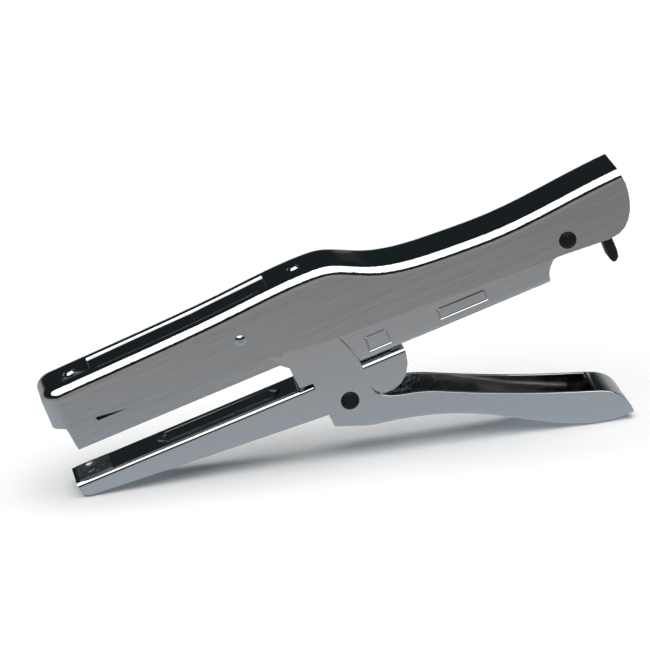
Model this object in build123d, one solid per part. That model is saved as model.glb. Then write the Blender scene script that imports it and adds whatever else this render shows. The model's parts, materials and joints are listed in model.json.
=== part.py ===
from build123d import *
import os

# Plier stapler: squeezing the lower handle pulls the cover down and drives a staple.
# Lengths are in millimetres. The pieces are drawn in the tool plane: x runs rearwards along
# the magazine, y across the tool and z up, with the main pivot at the origin. The finished
# tool is tilted by TILT, so that it stands on the jaw's tip and on the lower handle.
TILT = 15.65

# Sheet thicknesses, half widths and clearances.
SHEET = 1.0
MAG_SHEET = 0.8
COVER_HALF = 9.4
NECK_HALF = 8.2
ARM_HALF = 7.0
MAG_HALF = 6.8
TONGUE_HALF = 5.8
BLADE_HALF = 5.6
RAIL_HALF = 4.7
ANVIL_HALF = 5.45
RUN_GAP = 0.05
THROUGH = 12.0

# Pins, rivets and rod.
PIVOT = (0.0, 0.0)
PIVOT_R = 2.2
PIVOT_HEAD_R = 2.75
BUSH_R = 3.0
REAR_PIN = (75.6, 20.7)
REAR_PIN_R = 1.9
REAR_HEAD_R = 2.6
LINK_PIN = (-23.0, 31.0)
LINK_PIN_R = 1.25
LINK_HEAD_R = 1.7
SLOT_END = (-16.4, 26.1)
SLOT_HALF = 1.85
RIVET_R = 1.2
RIVET_HEAD_R = 2.0
ANVIL_RIVET_R = 1.1
ROD_R = 0.75
ROD_Z = 23.7

# Places along and above the jaw.
NOSE_X = -82.3
NOSE_R = 5.0
COVER_EDGE_R = 3.0
BLADE_X = -76.8
BLADE_SHEET = 0.5
BLADE_TIP = 27.2
BRACKET_TOP = 36.6
COVER_RIVETS = {-72.0: 38.7, -1.0: 41.9}
STAPLE_FRONT = -76.1
STAPLE_LENGTH = 49.0
MAG_BOTTOM = 18.1
MAG_FLOOR = MAG_BOTTOM + MAG_SHEET
TONGUE_BOTTOM = 17.4
ARM_TOP = 8.2
CHANNEL_BOTTOM = 9.4
CHANNEL_RIVETS = (0.0, 12.0)
ANVIL_FRONT = -81.1
ANVIL_REAR = -70.9
ANVIL_RIVET_X = -73.6

# Outlines in the tool plane.
COVER_TOP = [
    (NOSE_X, 38.33), (-64, 38.9), (-33, 40.0), (-23, 40.6), (-8, 41.7), (2.3, 41.9), (8.5, 41.2),
    (14, 38.9), (21, 35.6), (29, 33.5), (42, 32.2), (58, 31.6), (77.7, 33.0), (90.8, 34.2), (99, 34.6)]
COVER_REAR = [
    (96.3, 60), (96.4, 34.4), (97.0, 30.2), (96.9, 27.4), (96.4, 24.5), (95.5, 21.7), (94.1, 19.2),
    (92.6, 17.6), (90.4, 16.4), (87.2, 15.9)]
COVER_LOWER = [
    (71.9, 17.0), (38, 18.6), (4.2, 20.3), (-14, 22.2), (-33.6, 24.4), (-54, 24.9), (-59.6, 25.2),
    (-69.2, 26.5), (-69.9, 26.4), (-70.1, 25.8), (-78.2, 26.2), (-80.0, 26.9), (-90, 27.5), (-90, 60)]
PANEL_LINE = [(-66, 38.82), (-33, 40.0), (-10, 41.55)]
PANEL_SECTION = [(-4.8, 1.2), (-4.8, 0.0), (-4.5, -0.45), (4.5, -0.45), (4.8, 0.0), (4.8, 1.2)]
MAG_SIDE = [
    (-77.9, MAG_BOTTOM), (-10, MAG_BOTTOM), (-10, 23.9), (-30, 24.3), (-54, 24.9), (-57, 24.2),
    (-69.4, 24.2), (-71.0, 26.0), (-78.9, 26.2)]
TONGUE_SIDE = [
    (-16, MAG_BOTTOM), (-16, 24.0), (-5, 26.6), (70, 26.6), (78.6, 24.8), (79.2, 18.6), (76.0, 17.6),
    (72, TONGUE_BOTTOM), (-10, TONGUE_BOTTOM), (-10.8, MAG_BOTTOM)]
CHANNEL_SIDE = [
    (-6.0, CHANNEL_BOTTOM), (67.1, CHANNEL_BOTTOM), (67.4, 11.9), (68.4, 13.8), (70.1, 15.7),
    (73.3, 16.4), (78.6, 17.0), (79.6, 20.7), (78.4, 24.2), (75.6, 25.2), (60, 24.6), (8, 24.6), (-6, 20.0)]
ARM_SIDE = [
    (-82.4, ARM_TOP), (20.3, ARM_TOP), (20.3, 6.8), (19.7, 3.5), (18.1, 0.4), (15.7, -1.7), (13.0, -2.6),
    (-7.8, -2.1), (-46.5, 0.7), (-78.6, 3.45), (-80.4, 3.75), (-81.6, 4.6), (-82.2, 5.8)]
NECK = [
    (7.8, -0.8), (7.2, 1.3), (7.0, 8.9), (6.6, 11.2), (5.6, 14.9), (3.9, 19.1), (3.6, 20.8),
    (-12.0, 29.8), (-20.4, 33.9), (-23.4, 34.2), (-26.0, 32.6), (-26.3, 29.9), (-24.5, 27.4),
    (-17.5, 22.0), (-14.7, 18.3), (-12.8, 16.7), (-12.3, 9.6), (-8.2, 9.5), (-6.9, -5.8), (4.5, -10.6)]
BELLY = [
    (4.5, -10.6), (13.7, -12.6), (25.9, -16.6), (37.4, -22.4), (48.5, -29.2), (61.6, -36.2),
    (68.4, -38.3), (72.6, -38.75)]
TIP = [(76.8, -39.0), (76.3, -35.5), (74.9, -32.2), (72.4, -29.8), (69.2, -28.1)]
RIM = [
    (69.2, -28.1), (63.1, -25.7), (45.4, -18.2), (28.1, -9.8), (19.0, -5.8), (10.2, -2.9), (7.8, -0.8)]
TROUGH = [
    (-40, 50), (-40, -3.8), (-7.5, -3.8), (-5.6, -5.2), (-1.2, -7.2), (4.9, -9.6), (13.9, -11.6),
    (26.3, -15.6), (37.9, -21.5), (49.0, -28.3), (61.9, -35.0), (68.7, -37.2), (73.2, -37.7),
    (75.5, -37.6), (75.2, -35.6), (73.9, -32.7), (71.8, -30.7), (68.2, -29.2), (68.2, 50)]
LEAF_SPRING = [
    (2.5, 40.3), (2.5, 39.5), (-5, 39.3), (-11, 38.5), (-36, 30.2), (-46, 27.2), (-50, 27.6),
    (-50.2, 28.2), (-46, 27.9), (-36.2, 31.0), (-11.2, 39.3), (-5, 40.1)]
PUSHER_TAB = [(85.6, 25.0), (88.3, 25.0), (88.9, 9.0), (88.6, 7.0), (87.6, 6.0), (86.6, 6.2), (86.0, 7.4)]


def box(x0, x1, y0, y1, z0, z1):
    """Box between two corners."""
    centre = ((x0 + x1) / 2, (y0 + y1) / 2, (z0 + z1) / 2)
    return Pos(*centre) * Box(x1 - x0, y1 - y0, z1 - z0)


def strip(x0, x1, half, z0, z1):
    """Box centred across the tool."""
    return box(x0, x1, -half, half, z0, z1)


def extruded(edges, half):
    """Plate from a closed loop of edges, centred across the tool."""
    return Pos(0, half, 0) * Rot(90, 0, 0) * extrude(make_face(edges), amount=2 * half)


def prism(points, half):
    """Plate from a closed outline, centred across the tool."""
    return extruded(Polyline(*points, close=True), half)


def cross_pin(at, radius, half):
    """Cylinder across the tool, centred on it."""
    return Pos(at[0], 0, at[1]) * Rot(90, 0, 0) * Cylinder(radius, 2 * half)


def upright(x, radius, z0, z1):
    """Vertical cylinder on the tool's middle plane."""
    return Pos(x, 0, (z0 + z1) / 2) * Cylinder(radius, z1 - z0)


def lengthwise(y, z, radius, x0, x1):
    """Cylinder along the magazine."""
    return Pos((x0 + x1) / 2, y, z) * Rot(0, 90, 0) * Cylinder(radius, x1 - x0)


def dome(at, radius, height, side, y):
    """Shallow domed pin head on the plane at y, bulging towards side."""
    ball_r = (radius ** 2 + height ** 2) / (2 * height)
    ball = Pos(at[0], y - side * (ball_r - height), at[1]) * Sphere(ball_r)
    keep = Pos(at[0], y + side * height / 2, at[1]) * Box(4 * radius, height, 4 * radius)
    return ball & keep


def domed_pin(at, radius, half, head_r, height):
    """Pin across the tool with a domed head at each end."""
    pin = cross_pin(at, radius, half)
    for side in (-1, 1):
        pin = pin + dome(at, head_r, height, side, side * half)
    return pin


def edges_along(solid, y, point):
    """Edges on the planes at y and -y whose centre is at a point of the tool plane."""
    return [e for e in solid.edges()
            if abs(abs(e.center().Y) - y) < 0.01
            and abs(e.center().X - point[0]) < 0.5
            and abs(e.center().Z - point[1]) < 0.5]


def level_edges(solid, y, z):
    """Long edges on the planes at y and -y, at a height z."""
    return [e for e in solid.edges() if abs(abs(e.center().Y) - y) < 0.01 and abs(e.center().Z - z) < 0.01]


def lowered(points, distance):
    """Points of an outline running rearwards, moved below it by distance."""
    moved = []
    last = len(points) - 1
    for i, (x, z) in enumerate(points):
        ax, az = points[max(i - 1, 0)]
        bx, bz = points[min(i + 1, last)]
        run = ((bx - ax) ** 2 + (bz - az) ** 2) ** 0.5
        moved.append((x + (bz - az) / run * distance, z - (bx - ax) / run * distance))
    return moved


def rounded_block(top, bottom, half, nose_r, edge_r):
    """Block under a curved top, its nose corners and its top edges rounded."""
    front, rear = top[0][0], top[-1][0]
    sides = Polyline(top[-1], (rear, bottom), (front, bottom), top[0])
    block = extruded([Spline(*top), sides], half)
    corners = [e for e in block.edges() if abs(e.center().X - front) < 0.01 and e.bounding_box().size.Z > 5]
    block = fillet(corners, nose_r)
    rim = [e for e in block.edges() if e.bounding_box().min.Z > 30 and e.center().X < rear - 1]
    return fillet(rim, edge_r)


def cover_shell():
    """Inverted U pressing, closed at the nose, open below and at the rear."""
    beyond = 3.0
    inner = lowered(COVER_TOP, SHEET)
    inner[0] = (NOSE_X + SHEET, inner[0][1])
    inner[-1] = (COVER_TOP[-1][0] + beyond, inner[-1][1] + 0.2)
    shell = rounded_block(COVER_TOP, 0, COVER_HALF, NOSE_R, COVER_EDGE_R)
    shell = shell - rounded_block(inner, -2, COVER_HALF - SHEET, NOSE_R - SHEET, COVER_EDGE_R - SHEET)
    shell = shell & prism([*COVER_REAR, *COVER_LOWER], COVER_HALF + 1)
    shell = shell - cross_pin(REAR_PIN, REAR_PIN_R + RUN_GAP, THROUGH)
    shell = shell - cross_pin(LINK_PIN, LINK_PIN_R, THROUGH)
    for x, z in COVER_RIVETS.items():
        shell = shell - upright(x, RIVET_R, z - 3, z + 3)
    for start, end in zip(PANEL_LINE, PANEL_LINE[1:]):
        shell = shell - panel_recess(start, end)
    return shell


def panel_recess(start, end):
    """Straight stretch of the shallow panel sunk in the cover's top."""
    along = Vector(end[0] - start[0], 0, end[1] - start[1])
    plane = Plane(origin=(start[0], 0, start[1]), x_dir=(0, 1, 0), z_dir=along)
    corners = [plane.from_local_coords((y, h, 0)) for y, h in PANEL_SECTION]
    return extrude(make_face(Polyline(*corners, close=True)), amount=along.length, dir=along)


def cover_rivets():
    """Rivets that hold the driver bracket and the leaf spring under the cover."""
    head = 0.6
    cap = Rot(0, -2, 0) * Cone(RIVET_HEAD_R, RIVET_HEAD_R * 0.55, head)
    rivets = Part()
    for (x, top), under in zip(COVER_RIVETS.items(), (34.8, 38.2)):
        rivets = rivets + upright(x, RIVET_R, under, top) + Pos(x, 0, top + head / 2 - 0.1) * cap
        rivets = rivets + upright(x, RIVET_HEAD_R, under, under + 0.8)
    return rivets


def driver_bracket():
    """Bracket under the cover's nose, with a flange that backs the blade."""
    rear_face = BLADE_X + BLADE_SHEET
    bracket = strip(rear_face, -67.0, BLADE_HALF, BRACKET_TOP - SHEET, BRACKET_TOP)
    bracket = bracket + strip(rear_face, rear_face + SHEET, BLADE_HALF, 34.9, BRACKET_TOP)
    bracket = bracket + upright(-72.0, 3.0, BRACKET_TOP - 0.1, 37.5)
    return bracket - upright(-72.0, RIVET_R, 30, 40)


def magazine_channel():
    """U channel, wide in front of the neck and narrow inside the rear channel."""
    inner = MAG_HALF - MAG_SHEET
    front = prism(MAG_SIDE, MAG_HALF) - strip(-81, -9, inner, MAG_FLOOR, 40)
    tongue = prism(TONGUE_SIDE, TONGUE_HALF) - strip(-17, 90, TONGUE_HALF - MAG_SHEET, MAG_FLOOR, 40)
    joint = strip(-16, -10, MAG_HALF, MAG_BOTTOM, MAG_FLOOR)
    for y0, y1 in ((-MAG_HALF, -5.0), (5.0, MAG_HALF)):
        joint = joint + box(-10.8, -10, y0, y1, MAG_BOTTOM, 23.9)
    channel = front + tongue + joint - cross_pin(REAR_PIN, REAR_PIN_R + RUN_GAP, 8)
    return channel - strip(BLADE_X - 0.15, BLADE_X + 0.9, BLADE_HALF + 0.15, 17, 19)


def staple_strip():
    """Staples in a row; grooves over the crown mark where they are glued together."""
    legs = strip(STAPLE_FRONT, STAPLE_FRONT + STAPLE_LENGTH, 5.65, 19.2, 24.15) - strip(-80, 0, 5.1, 10, 23.6)
    for i in range(12):
        groove_x = STAPLE_FRONT + 2.0 + i * 3.9
        legs = legs - strip(groove_x, groove_x + 0.12, 6, 24.0, 30)
    return legs


def coil_spring(pitch, length, radius, wire_r):
    """Helical wire along +Z."""
    path = Helix(pitch=pitch, height=length, radius=radius)
    section = Plane(path @ 0, z_dir=path % 0) * Circle(wire_r)
    return sweep(section, path=path, is_frenet=True)


def outline_groove(x0, x1, z0, z1, side):
    """V-shaped outline stamped into a side of the rear channel."""
    width, depth = 0.6, 0.3
    outer = extrude(Rectangle(x1 - x0, z1 - z0), amount=depth, taper=45)
    inner = extrude(Rectangle(x1 - x0 - 2 * width, z1 - z0 - 2 * width), amount=depth, taper=-45)
    return Pos((x0 + x1) / 2, side * ARM_HALF, (z0 + z1) / 2) * Rot(side * 90, 0, 0) * (outer - inner)


def rear_channel():
    """Upright U that stands on the anvil arm's tail and holds the rear pin."""
    channel = prism(CHANNEL_SIDE, ARM_HALF)
    channel = fillet(level_edges(channel, ARM_HALF, CHANNEL_BOTTOM), 1.3)
    channel = channel - strip(-20, 90, ARM_HALF - SHEET, CHANNEL_BOTTOM + SHEET, 40)
    channel = channel - cross_pin(REAR_PIN, REAR_PIN_R, THROUGH)
    for side in (-1, 1):
        channel = channel - outline_groove(10.5, 17.7, 11.3, 16.4, side)
        channel = channel - outline_groove(33.0, 48.3, 12.0, 15.8, side)
    for x in CHANNEL_RIVETS:
        channel = channel - upright(x, RIVET_R, 6, 12)
    return channel


def lozenge(x0, x1, half, point):
    """Long six-sided outline seen from above."""
    upper = [(x0, 0), (x0 + point, half), (x1 - point, half), (x1, 0)]
    corners = [*upper, (x1 - point, -half), (x0 + point, -half)]
    return make_face(Polyline(*corners, close=True))


def anvil_arm():
    """Lower jaw: inverted U with a seat for the anvil and one for the rear channel."""
    arm = prism(ARM_SIDE, ARM_HALF)
    arm = fillet(level_edges(arm, ARM_HALF, ARM_TOP), 1.6)
    arm = arm - strip(-81.4, 30, ARM_HALF - SHEET, -10, ARM_TOP - SHEET) - cross_pin(PIVOT, PIVOT_R, THROUGH)
    arm = arm - strip(ANVIL_FRONT - 0.1, ANVIL_REAR + 0.1, ANVIL_HALF + 0.1, 7.7, 9)
    arm = arm + strip(ANVIL_FRONT - 0.1, ANVIL_REAR + 0.1, ANVIL_HALF + 0.1, 7.2, 7.7)
    arm = arm + strip(-4.5, 16.5, 4.5, ARM_TOP - SHEET, CHANNEL_BOTTOM)
    embossed = lozenge(-56, -17.4, 3.2, 2.6) - lozenge(-55, -18.4, 2.5, 2.0)
    arm = arm + Pos(0, 0, ARM_TOP - 0.05) * extrude(embossed, amount=0.35)
    for x in CHANNEL_RIVETS:
        arm = arm - upright(x, RIVET_R, 5, 11)
    return arm - upright(ANVIL_RIVET_X, ANVIL_RIVET_R, 5, 11)


def anvil_plate():
    """Anvil with two cups that turn the staple's legs inwards."""
    plate = strip(ANVIL_FRONT, ANVIL_REAR, ANVIL_HALF, 7.7, 8.4)
    plate = plate - upright(ANVIL_RIVET_X, ANVIL_RIVET_R, 5, 11)
    for side in (-1, 1):
        plate = plate - Pos(BLADE_X, side * 2.7, 11.3) * Sphere(3.4)
    return plate - strip(-80.2, -79.7, 5.0, 8.1, 9)


def channel_rivets():
    """Rivets that hold the rear channel on the arm."""
    rivets = Part()
    for x in CHANNEL_RIVETS:
        shaft = upright(x, RIVET_R, 7.2, 10.4)
        rivets = rivets + shaft + upright(x, RIVET_HEAD_R, 10.4, 11.0) + upright(x, RIVET_HEAD_R, 6.6, 7.2)
    return rivets


def lower_handle():
    """Open-topped trough with tall neck plates and slotted lobes up to the link pin."""
    outline = [Polyline(*NECK), Spline(*BELLY), Line(BELLY[-1], TIP[0]), Spline(*TIP), Spline(*RIM)]
    handle = extruded(outline, NECK_HALF)
    centre = Spline(*BELLY).center()
    handle = fillet(edges_along(handle, NECK_HALF, (centre.X, centre.Y)), 1.2)
    handle = handle - prism(TROUGH, NECK_HALF - SHEET) - cross_pin(PIVOT, PIVOT_R + RUN_GAP, THROUGH)
    run = Vector(SLOT_END[0] - LINK_PIN[0], SLOT_END[1] - LINK_PIN[1])
    offset = run.rotate(Axis.Z, 90).normalized() * SLOT_HALF
    corners = [(at[0] + sign * offset.X, at[1] + sign * offset.Y)
               for at, sign in ((LINK_PIN, 1), (SLOT_END, 1), (SLOT_END, -1), (LINK_PIN, -1))]
    slot = cross_pin(LINK_PIN, SLOT_HALF, THROUGH) + cross_pin(SLOT_END, SLOT_HALF, THROUGH)
    return handle - slot - prism(corners, THROUGH)


def handle_return_spring():
    """Torsion spring round the bush, one leg under the jaw and one in the handle."""
    turns, pitch, radius, wire_r = 7, 1.25, 3.75, 0.45
    coil = Pos(0, 4.4, 0) * Rot(90, 0, 0) * coil_spring(pitch, pitch * turns, radius, wire_r)
    rear_leg = Rot(0, 21.0, 0) * lengthwise(-4.0, -radius, wire_r, 0, 23.5)
    return coil + lengthwise(4.0, radius, wire_r, -24, 0) + rear_leg


SPRING_START = -13.0
SPRING_END = 61.8
follower = strip(-27.0, -21.5, RAIL_HALF, 21.6, 24.5)
rod_hole = lengthwise(0, ROD_Z, ROD_R, -25.0, 87.0)
nodes = {
    "cover": cover_shell(),
    "driver_bracket": driver_bracket(),
    "driver_blade": strip(BLADE_X, BLADE_X + BLADE_SHEET, BLADE_HALF, BLADE_TIP, BRACKET_TOP),
    "cover_rivets": cover_rivets(),
    "cover_return_spring": prism(LEAF_SPRING, 3.0) - upright(-1.0, RIVET_R, 36, 42),
    "link_pin": domed_pin(LINK_PIN, LINK_PIN_R, COVER_HALF, LINK_HEAD_R, 0.7),
    "magazine_channel": magazine_channel(),
    "nose_plate": prism([(-78.75, 25.9), (-77.95, 25.9), (-77.0, MAG_FLOOR), (-77.8, MAG_FLOOR)], 6.0),
    "staple_rail": strip(-75.9, -12.5, RAIL_HALF, MAG_FLOOR, 21.4) - strip(-80, 0, 1.6, 20.2, 30),
    "staple_strip": staple_strip(),
    "rod_guide": strip(62.2, 63.4, 5.0, MAG_FLOOR, 26.4) - lengthwise(0, ROD_Z, ROD_R + RUN_GAP, 60, 70),
    "pusher_rod": rod_hole,
    "pusher_follower": follower - rod_hole,
    "pusher_tab": prism(PUSHER_TAB, 3.0) - rod_hole,
    "pusher_spring": Pos(SPRING_START, 0, ROD_Z) * Rot(0, 90, 0)
    * coil_spring(3.4, SPRING_END - SPRING_START, 1.35, 0.25),
    "spring_collar": lengthwise(0, ROD_Z, 1.9, -14.4, -13.3) - rod_hole,
    "rear_channel": rear_channel(),
    "rear_pin": domed_pin(REAR_PIN, REAR_PIN_R, COVER_HALF + 0.1, REAR_HEAD_R, 1.1),
    "anvil_arm": anvil_arm(),
    "anvil_plate": anvil_plate(),
    "anvil_rivet": upright(ANVIL_RIVET_X, ANVIL_RIVET_R, 6.7, 8.5) + upright(ANVIL_RIVET_X, 1.8, 6.5, 7.2),
    "channel_rivets": channel_rivets(),
    "lower_handle": lower_handle(),
    "pivot_pin": domed_pin(PIVOT, PIVOT_R, NECK_HALF + 0.1, PIVOT_HEAD_R, 1.2),
    "pivot_bush": cross_pin(PIVOT, BUSH_R, 5.9) - cross_pin(PIVOT, PIVOT_R, 6),
    "handle_return_spring": handle_return_spring(),
}

# Tilt every piece, stand the tool on the ground with the box's centre over the origin.
placed = {name: Rot(0, -TILT, 0) * shape for name, shape in nodes.items()}
boxes = [shape.bounding_box() for shape in placed.values()]
low = [min(getattr(b.min, axis) for b in boxes) for axis in "XYZ"]
high = [max(getattr(b.max, axis) for b in boxes) for axis in "XYZ"]
shift = Pos(-(low[0] + high[0]) / 2, -(low[1] + high[1]) / 2, -low[2])
os.makedirs("parts", exist_ok=True)
for name, shape in placed.items():
    export_step(shift * shape, f"parts/{name}.step")
for label, (x, z) in {"pivot": PIVOT, "rear pin": REAR_PIN, "link pin": LINK_PIN}.items():
    print(label, (shift * Rot(0, -TILT, 0) * Pos(x, 0, z)).position)
print("size", [round(b - a, 3) for a, b in zip(low, high)])
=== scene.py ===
"""Looks for the plier stapler: materials, studio light and the camera."""
import json
import math

import bpy
from mathutils import Matrix, Vector

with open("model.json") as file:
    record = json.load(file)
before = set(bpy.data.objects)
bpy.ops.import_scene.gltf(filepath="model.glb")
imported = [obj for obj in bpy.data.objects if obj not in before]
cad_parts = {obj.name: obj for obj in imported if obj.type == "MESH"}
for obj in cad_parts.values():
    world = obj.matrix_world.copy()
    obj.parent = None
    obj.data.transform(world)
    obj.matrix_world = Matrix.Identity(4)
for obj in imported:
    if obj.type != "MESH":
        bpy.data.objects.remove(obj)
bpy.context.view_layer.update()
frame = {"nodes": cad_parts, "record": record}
nodes = frame["nodes"]
scene = bpy.context.scene
scene.view_settings.view_transform = "Standard"
scene.view_settings.look = "None"

MM = 0.001
TOOL_TILT = 0.273  # radians between the magazine and the ground
record_joints = {j["name"]: j for j in frame["record"]["behaviour"]["joints"]}
pivot = Vector(record_joints["handle_squeeze"]["pos_m"])


# Node helpers.
def new_material(name):
    mat = bpy.data.materials.new(name)
    mat.use_nodes = True
    tree = mat.node_tree
    return mat, tree, tree.nodes["Principled BSDF"]


def link(tree, a, b):
    tree.links.new(a, b)


def coords(tree, scale=(1, 1, 1), rotation=(0, 0, 0)):
    """Object coordinates in millimetres, turned and then scaled."""
    tex = tree.nodes.new("ShaderNodeTexCoord")
    turn = tree.nodes.new("ShaderNodeMapping")
    turn.inputs["Rotation"].default_value = rotation
    link(tree, tex.outputs["Object"], turn.inputs["Vector"])
    grow = tree.nodes.new("ShaderNodeMapping")
    grow.inputs["Scale"].default_value = [s / MM for s in scale]
    link(tree, turn.outputs["Vector"], grow.inputs["Vector"])
    return grow.outputs["Vector"]


def noise(tree, vector, scale=1.0, detail=3.0, rough=0.55):
    node = tree.nodes.new("ShaderNodeTexNoise")
    node.inputs["Scale"].default_value = scale
    node.inputs["Detail"].default_value = detail
    node.inputs["Roughness"].default_value = rough
    link(tree, vector, node.inputs["Vector"])
    return node.outputs["Fac"]


def remap(tree, value, a, b, c, d, smooth=False):
    node = tree.nodes.new("ShaderNodeMapRange")
    node.interpolation_type = "SMOOTHSTEP" if smooth else "LINEAR"
    for i, v in zip(("From Min", "From Max", "To Min", "To Max"), (a, b, c, d)):
        node.inputs[i].default_value = v
    link(tree, value, node.inputs["Value"])
    return node.outputs["Result"]


def calc(tree, op, a, b=None, c=None):
    """One math node; each argument is a number or another node's output."""
    node = tree.nodes.new("ShaderNodeMath")
    node.operation = op
    for i, v in enumerate((a, b, c)):
        if hasattr(v, "links"):
            link(tree, v, node.inputs[i])
        elif v is not None:
            node.inputs[i].default_value = v
    return node.outputs[0]


def mix(tree, fac, one, two):
    """Mix of two colours, each given as numbers or as another node's output."""
    node = tree.nodes.new("ShaderNodeMix")
    node.data_type = "RGBA"
    link(tree, fac, node.inputs["Factor"])
    for i, colour in ((6, one), (7, two)):
        if hasattr(colour, "links"):
            link(tree, colour, node.inputs[i])
        else:
            node.inputs[i].default_value = (*colour, 1)
    return node.outputs[2]


def ramp(tree, value, stops):
    """Colours along a value; each stop is (value, (r, g, b))."""
    node = tree.nodes.new("ShaderNodeValToRGB")
    low, high = stops[0][0], stops[-1][0]
    while len(node.color_ramp.elements) < len(stops):
        node.color_ramp.elements.new(0.5)
    for element, (at, colour) in zip(node.color_ramp.elements, stops):
        element.position = (at - low) / (high - low)
        element.color = (*colour, 1)
    link(tree, remap(tree, value, low, high, 0, 1), node.inputs["Fac"])
    return node.outputs["Color"]


def split_vector(tree, vector):
    node = tree.nodes.new("ShaderNodeSeparateXYZ")
    link(tree, vector, node.inputs[0])
    return node.outputs


def bump(tree, shader, height, strength, distance):
    node = tree.nodes.new("ShaderNodeBump")
    node.inputs["Strength"].default_value = strength
    node.inputs["Distance"].default_value = distance
    link(tree, height, node.inputs["Height"])
    link(tree, node.outputs["Normal"], shader.inputs["Normal"])


# Materials.
def facing_sideways(tree):
    """1 on the tool's flat sides, 0 on its top, edges and ends."""
    tex = tree.nodes.new("ShaderNodeTexCoord")
    side = calc(tree, "ABSOLUTE", split_vector(tree, tex.outputs["Normal"])["Y"])
    return remap(tree, side, 0.9, 0.985, 0, 1, smooth=True)


def chrome(name, bright, dull, side_rough, shade_and_streak_depth):
    """Nickel-chrome plate: polished on top, with drawn streaks and rubbed marks on its flat sides, which
    are painted darker than the top as painted shade.
    """
    mat, tree, shader = new_material(name)
    shader.inputs["Metallic"].default_value = 1.0
    turned = (0, TOOL_TILT, 0)
    long_streak = noise(tree, coords(tree, (0.018, 0.5, 0.9), turned), detail=5.0, rough=0.65)
    short_streak = noise(tree, coords(tree, (0.22, 0.9, 1.7), turned), detail=4.0, rough=0.6)
    grain = noise(tree, coords(tree, (1.6, 1.6, 2.6), turned), detail=3.0, rough=0.7)
    smudge = noise(tree, coords(tree, (0.05, 0.05, 0.07), turned), detail=3.0, rough=0.5)
    sides = facing_sideways(tree)
    streak = calc(tree, "MULTIPLY_ADD", long_streak, 0.5, calc(tree, "MULTIPLY_ADD", short_streak, 0.3,
                  calc(tree, "MULTIPLY", grain, 0.2)))
    # Painted shade: the flat sides are mixed towards the dull colour in drawn streaks, so they read darker
    # than the top.
    side_shade_and_streaks = calc(tree, "MULTIPLY", remap(tree, streak, 0.38, 0.62, 0, shade_and_streak_depth), sides)
    link(tree, mix(tree, side_shade_and_streaks, bright, dull), shader.inputs["Base Color"])
    polish = remap(tree, smudge, 0.35, 0.7, 0.02, 0.05)
    satin_rough = remap(tree, streak, 0.4, 0.6, side_rough * 0.8, side_rough * 1.3)
    rough_mix = calc(tree, "MULTIPLY_ADD", calc(tree, "SUBTRACT", satin_rough, polish), sides, polish)
    link(tree, rough_mix, shader.inputs["Roughness"])
    relief = calc(tree, "MULTIPLY_ADD", calc(tree, "MULTIPLY", streak, sides), 1.0,
                  calc(tree, "MULTIPLY", smudge, 0.12))
    bump(tree, shader, relief, 0.3, 0.03 * MM)
    return mat


def metal(name, one, two, rough_low, rough_high, grain=(0.02, 0.6, 0.6)):
    """Drawn or rolled metal with streaks and blotches."""
    mat, tree, shader = new_material(name)
    shader.inputs["Metallic"].default_value = 1.0
    streak = noise(tree, coords(tree, grain, (0, TOOL_TILT, 0)), detail=5.0, rough=0.6)
    blotch = noise(tree, coords(tree, (0.15, 0.15, 0.15)))
    link(tree, mix(tree, remap(tree, streak, 0.3, 0.7, 0, 1), one, two), shader.inputs["Base Color"])
    link(tree, remap(tree, blotch, 0.3, 0.7, rough_low, rough_high), shader.inputs["Roughness"])
    bump(tree, shader, streak, 0.25, 0.02 * MM)
    return mat


def matt(name, colour, rough, grain=1.2, strength=0.3):
    """Dark coating or moulding with a fine grain and lighter rubbed spots."""
    mat, tree, shader = new_material(name)
    fine = noise(tree, coords(tree), grain, 4.0, 0.6)
    lighter = [c * 1.6 + 0.004 for c in colour]
    link(tree, mix(tree, remap(tree, fine, 0.35, 0.7, 0, 1), colour, lighter), shader.inputs["Base Color"])
    link(tree, remap(tree, fine, 0.3, 0.7, rough - 0.08, rough + 0.1), shader.inputs["Roughness"])
    shader.inputs["Specular IOR Level"].default_value = 0.12
    bump(tree, shader, fine, strength, 0.05 * MM)
    return mat


chrome_plate = chrome("chrome_plate", (0.56, 0.56, 0.565), (0.36, 0.365, 0.37), 0.09, 0.45)
chrome_channel = chrome("chrome_channel", (0.62, 0.62, 0.625), (0.50, 0.505, 0.51), 0.15, 0.4)
chrome_jaw = chrome("chrome_jaw", (0.61, 0.61, 0.615), (0.51, 0.515, 0.52), 0.10, 0.3)
satin = metal("satin_steel", (0.45, 0.45, 0.455), (0.56, 0.56, 0.565), 0.22, 0.34)
spring = metal("spring_steel", (0.26, 0.26, 0.28), (0.36, 0.36, 0.38), 0.2, 0.3)
wire = metal("staple_wire", (0.55, 0.55, 0.57), (0.7, 0.7, 0.72), 0.2, 0.3, grain=(1.6, 0.1, 0.1))
black_steel = matt("black_steel", (0.006, 0.006, 0.007), 0.42)
black_plastic = matt("black_plastic", (0.009, 0.009, 0.010), 0.5, 2.0)

LOOK = {
    chrome_plate: ("cover", "magazine_channel", "cover_rivets", "link_pin"),
    chrome_channel: ("rear_channel",),
    chrome_jaw: ("lower_handle", "anvil_arm"),
    satin: ("nose_plate", "staple_rail", "rod_guide", "driver_bracket", "pusher_follower", "spring_collar",
            "anvil_plate", "anvil_rivet", "channel_rivets", "pivot_bush"),
    spring: ("driver_blade", "cover_return_spring", "pusher_rod", "pusher_spring", "handle_return_spring"),
    wire: ("staple_strip",),
    black_steel: ("rear_pin", "pivot_pin"),
    black_plastic: ("pusher_tab",),
}
for material, names in LOOK.items():
    for name in names:
        nodes[name].data.materials.clear()
        nodes[name].data.materials.append(material)


def soften_edges(node, width):
    """Worn, slightly rounded sheet edges that catch the light."""
    weld = node.modifiers.new("join_faces", "WELD")
    weld.merge_threshold = 0.002 * MM
    bevel = node.modifiers.new("edges", "BEVEL")
    bevel.width = width
    bevel.segments = 3
    bevel.limit_method = "ANGLE"
    bevel.angle_limit = math.radians(50)


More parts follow.
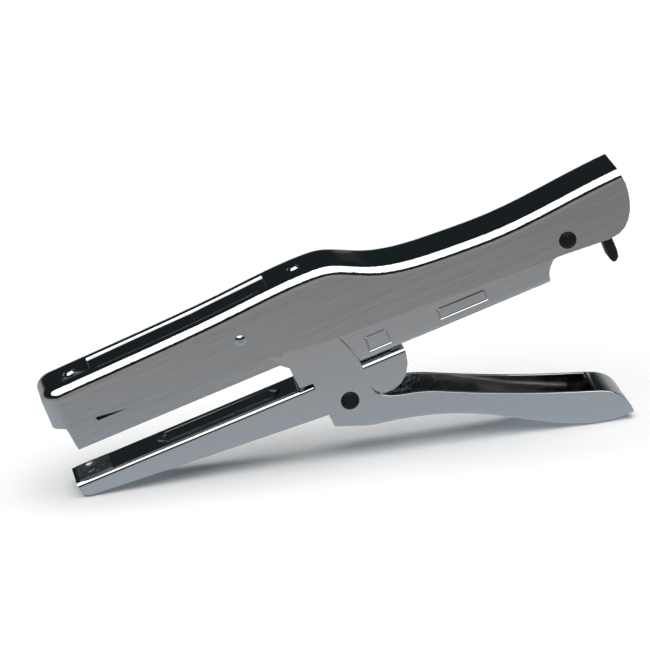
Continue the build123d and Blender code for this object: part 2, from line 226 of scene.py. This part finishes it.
SOFT_EDGES = {"lower_handle": 0.22, "rear_channel": 0.2, "cover": 0.2, "anvil_arm": 0.2,
              "magazine_channel": 0.15, "pusher_tab": 0.3, "nose_plate": 0.15}
for name, width in SOFT_EDGES.items():
    soften_edges(nodes[name], width * MM)


# Studio: a pale floor, a softbox overhead in a dark room with a pale horizon, and a reflector card.
# Distance out from the tool's middle plane, in metres, and the card's colour there.
CARD_TONES = [
    (0.0, (0.47, 0.55, 0.60)), (0.09, (0.43, 0.44, 0.45)),
    (0.20, (0.34, 0.34, 0.35)), (0.30, (0.34, 0.34, 0.35))]
CARD_SIZE = (0.8, 0.6)
CARD_HEIGHT = 0.4 * MM
FLOOR_SIZE = (6, 6)
FLOOR_HEIGHT = -0.2 * MM


def plane(name, size, mat, height):
    """Level rectangle centred under the tool."""
    mesh = bpy.data.meshes.new(name)
    x, y = size[0] / 2, size[1] / 2
    mesh.from_pydata([(-x, -y, 0), (x, -y, 0), (x, y, 0), (-x, y, 0)], [], [(0, 1, 2, 3)])
    mesh.materials.append(mat)
    obj = bpy.data.objects.new(name, mesh)
    obj.location.z = height
    scene.collection.objects.link(obj)
    return obj


def reflector(name, colour_of, size, height):
    """Card that only polished metal sees; colour_of gives its colour from its own place on the card."""
    mat = bpy.data.materials.new(name)
    mat.use_nodes = True
    tree = mat.node_tree
    tree.nodes.clear()
    emit = tree.nodes.new("ShaderNodeEmission")
    out = tree.nodes.new("ShaderNodeOutputMaterial")
    tex = tree.nodes.new("ShaderNodeTexCoord")
    link(tree, colour_of(tree, split_vector(tree, tex.outputs["Object"])), emit.inputs["Color"])
    link(tree, emit.outputs[0], out.inputs["Surface"])
    card = plane(name, size, mat, height)
    card.visible_camera = False
    card.visible_diffuse = False
    card.visible_shadow = False
    card.visible_transmission = False


def surround_tone(tree, place):
    """Pale and cool near the tool, fading evenly to neutral grey at the card's rim."""
    return ramp(tree, calc(tree, "ABSOLUTE", place["Y"]), CARD_TONES)


floor_mat, floor_tree, floor_shader = new_material("floor")
floor_shader.inputs["Base Color"].default_value = (0.95, 0.95, 0.95, 1)
floor_shader.inputs["Roughness"].default_value = 0.9
floor_shader.inputs["Specular IOR Level"].default_value = 0.0
floor = plane("floor", FLOOR_SIZE, floor_mat, FLOOR_HEIGHT)
floor.visible_glossy = False
reflector("surround_card", surround_tone, CARD_SIZE, CARD_HEIGHT)

DARK_ROOM = (0.016, 0.022, 0.024)
PALE_HORIZON = (0.42, 0.43, 0.44)
SOFTBOX = (2.4, 2.4, 2.4)
PAPER_WHITE = (1.0, 1.0, 1.0)
HORIZON_FADE = (0.02, 0.3)
SOFTBOX_SLANT = -0.176
SOFTBOX_EDGE = (0.72, 0.77)
world = bpy.data.worlds.new("studio")
scene.world = world
world.use_nodes = True
wt = world.node_tree
look = wt.nodes.new("ShaderNodeTexCoord")
way = split_vector(wt, look.outputs["Generated"])
lift = calc(wt, "MULTIPLY_ADD", way["Y"], SOFTBOX_SLANT, way["Z"])
walls = mix(wt, remap(wt, way["Z"], *HORIZON_FADE, 0, 1, smooth=True), PALE_HORIZON, DARK_ROOM)
room = mix(wt, remap(wt, lift, *SOFTBOX_EDGE, 0, 1, smooth=True), walls, SOFTBOX)
rays = wt.nodes.new("ShaderNodeLightPath")
backdrop = mix(wt, rays.outputs["Is Camera Ray"], room, PAPER_WHITE)
link(wt, backdrop, wt.nodes["Background"].inputs["Color"])

# Camera: its aim is given from the main pivot.
AZIMUTH, ELEVATION, ROLL = (math.radians(a) for a in (-8.73, 21.08, 4.95))
DISTANCE = 1.150
AIM = pivot + Vector((-4.18, 0, 21.24)) * MM
lens = bpy.data.cameras.new("camera")
lens.sensor_width = 36
lens.lens = 219.4
lens.clip_start = 0.05
lens.clip_end = 20
camera = bpy.data.objects.new("camera", lens)
turn = (Matrix.Rotation(AZIMUTH, 4, "Z") @ Matrix.Rotation(math.pi / 2 - ELEVATION, 4, "X")
        @ Matrix.Rotation(-ROLL, 4, "Z"))
camera.matrix_world = Matrix.Translation(AIM) @ turn @ Matrix.Translation((0, 0, DISTANCE))
scene.collection.objects.link(camera)
scene.camera = camera
